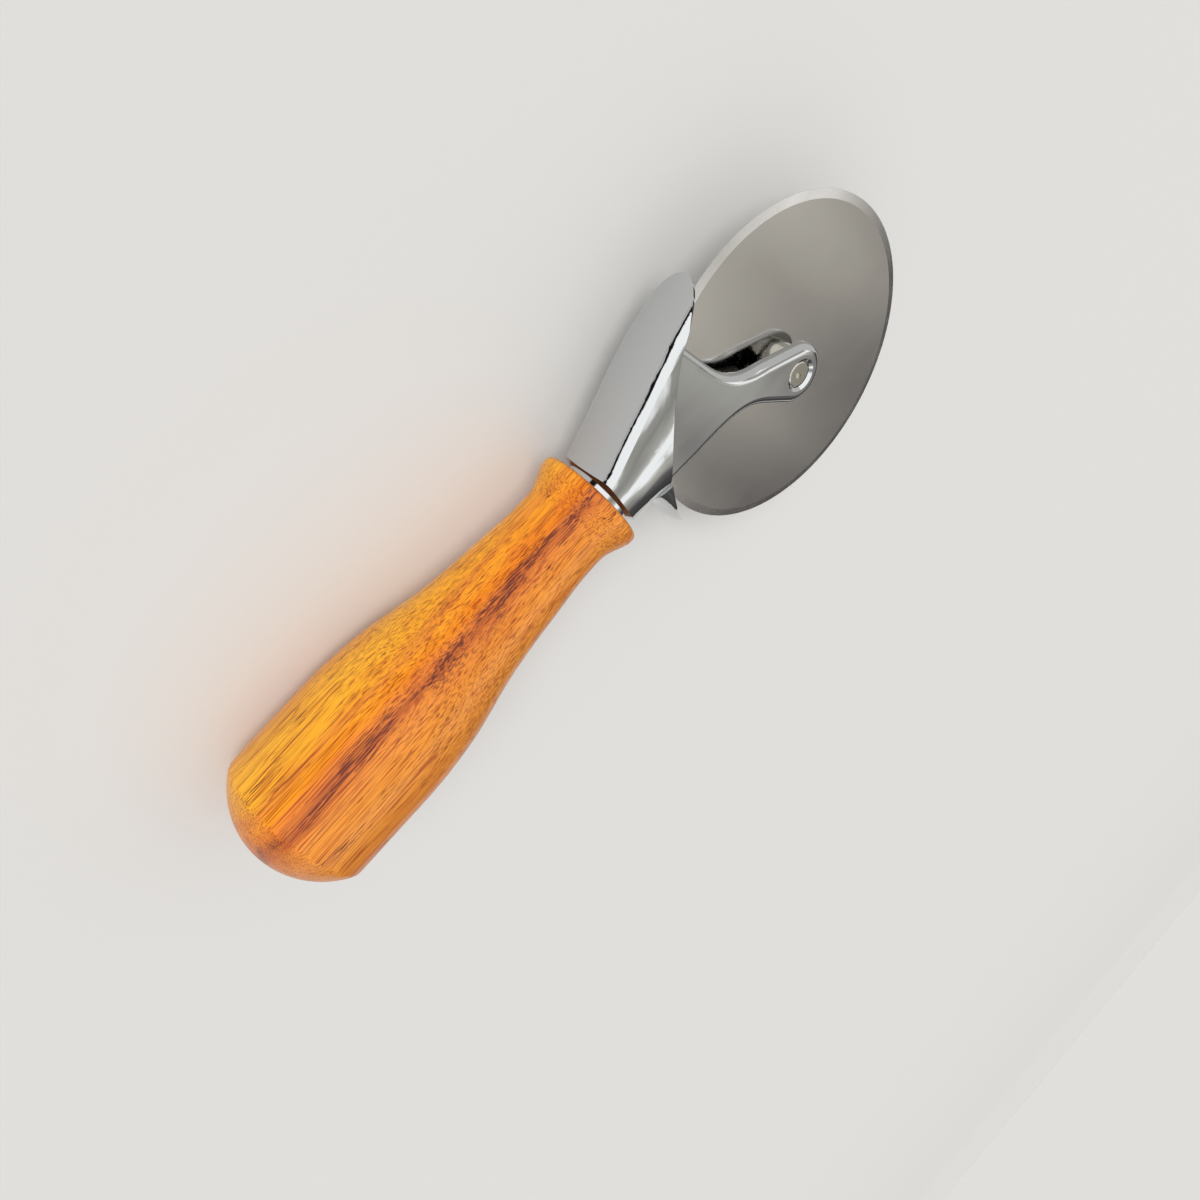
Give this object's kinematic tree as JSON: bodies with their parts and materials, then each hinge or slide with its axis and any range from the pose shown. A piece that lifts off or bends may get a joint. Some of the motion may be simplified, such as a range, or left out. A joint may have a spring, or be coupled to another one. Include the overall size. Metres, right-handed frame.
{
  "type": "pizza cutter wheel",
  "caption": "Hand-held pizza cutter: turned wooden handle, chrome-plated cast fork with thumb rest and finger hook, and a round steel blade that spins on a screwed axle.",
  "frame": {"origin": "centre of the straight part of the handle, on the handle's axis", "axes": "+X along the handle towards the blade, +Y towards the thumb rest, +Z along the blade's axle"},
  "size_m": [0.2532, 0.1051, 0.0454],
  "materials": {
    "lacquered_wood": "turned hardwood with dark streaks and open pores, clear gloss lacquer",
    "brass": "turned",
    "plain_steel": "turned, zinc plated",
    "chrome_plate": "zinc casting, mirror chrome plate",
    "polished_stainless": "mirror-polished sheet, ground bevel at the rim",
    "nylon": "natural white, moulded",
    "axle_steel": "turned steel, nickel plated"
  },
  "bodies": {
    "cutter": {"handle": "lacquered_wood", "threaded_insert": "brass", "threaded_stud": "plain_steel", "body": "chrome_plate", "thrust_washer_left": "nylon", "thrust_washer_right": "nylon", "axle_sleeve": "axle_steel", "axle_screw": "axle_steel"},
    "wheel": {"cutting_wheel": "polished_stainless", "hub_bush_left": "plain_steel", "hub_bush_right": "plain_steel"}
  },
  "joints": [
    {"name": "wheel_spin", "type": "hinge", "parent": "cutter", "child": "wheel", "pos_m": [0.1755, -0.0221, 0], "axis": [0, 0, 1], "continuous": true}
  ]
}
